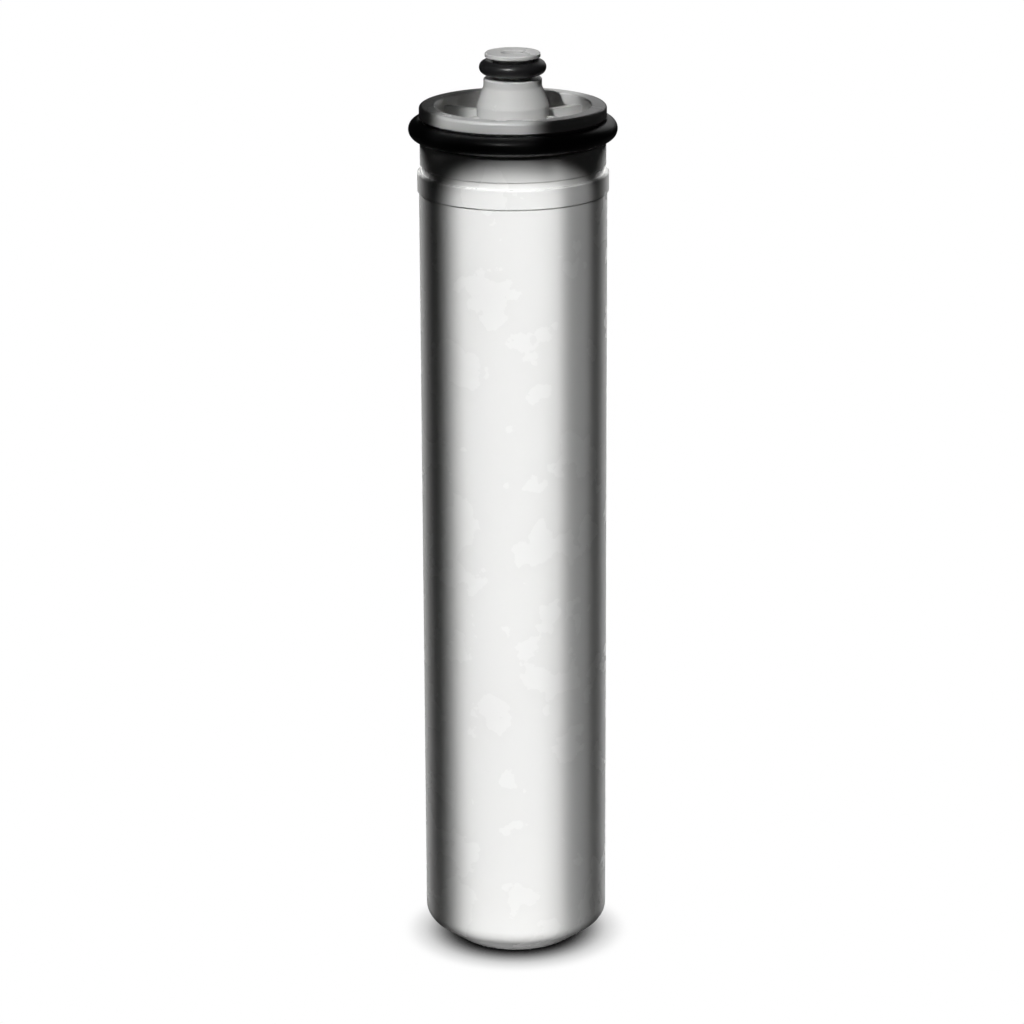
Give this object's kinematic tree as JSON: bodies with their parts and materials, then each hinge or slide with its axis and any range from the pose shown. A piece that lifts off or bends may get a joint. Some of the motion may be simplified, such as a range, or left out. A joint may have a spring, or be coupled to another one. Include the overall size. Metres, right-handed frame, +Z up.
{
  "type": "encapsulated reverse osmosis membrane element",
  "caption": "Tall round drop-in reverse osmosis element: white sealed shell, black body seal at the cap, ported cap moat and a sealed central outlet spigot.",
  "frame": {"origin": "centre of the foot ring, on the plane that the element stands on", "axes": "+Z up the element's own axis, towards the spigot; -Y is the side seen from the front"},
  "size_m": [0.0754, 0.0754, 0.338],
  "materials": {
    "shell_plastic": "gloss",
    "cap_plastic": "gloss",
    "seal_rubber": "satin",
    "tube_plastic": "satin",
    "plate_plastic": "satin",
    "wrap_tape": "satin",
    "membrane_cloth": "matte",
    "spacer_net": "satin"
  },
  "bodies": {
    "root": {"shell": "shell_plastic", "end_cap": "cap_plastic", "permeate_adapter": "cap_plastic", "body_seal": "seal_rubber", "spigot_seal": "seal_rubber", "permeate_tube": "tube_plastic", "tube_plug": "tube_plastic", "plug_seal": "seal_rubber", "lower_tube_seal": "seal_rubber", "upper_tube_seal": "seal_rubber", "lower_plate": "plate_plastic", "upper_plate": "plate_plastic", "brine_seal": "seal_rubber", "core_wrap": "membrane_cloth", "element_wrap": "wrap_tape", "membrane_leaf_1": "membrane_cloth", "feed_spacer_1": "spacer_net", "membrane_leaf_2": "membrane_cloth", "feed_spacer_2": "spacer_net", "membrane_leaf_3": "membrane_cloth", "feed_spacer_3": "spacer_net"}
  },
  "joints": []
}
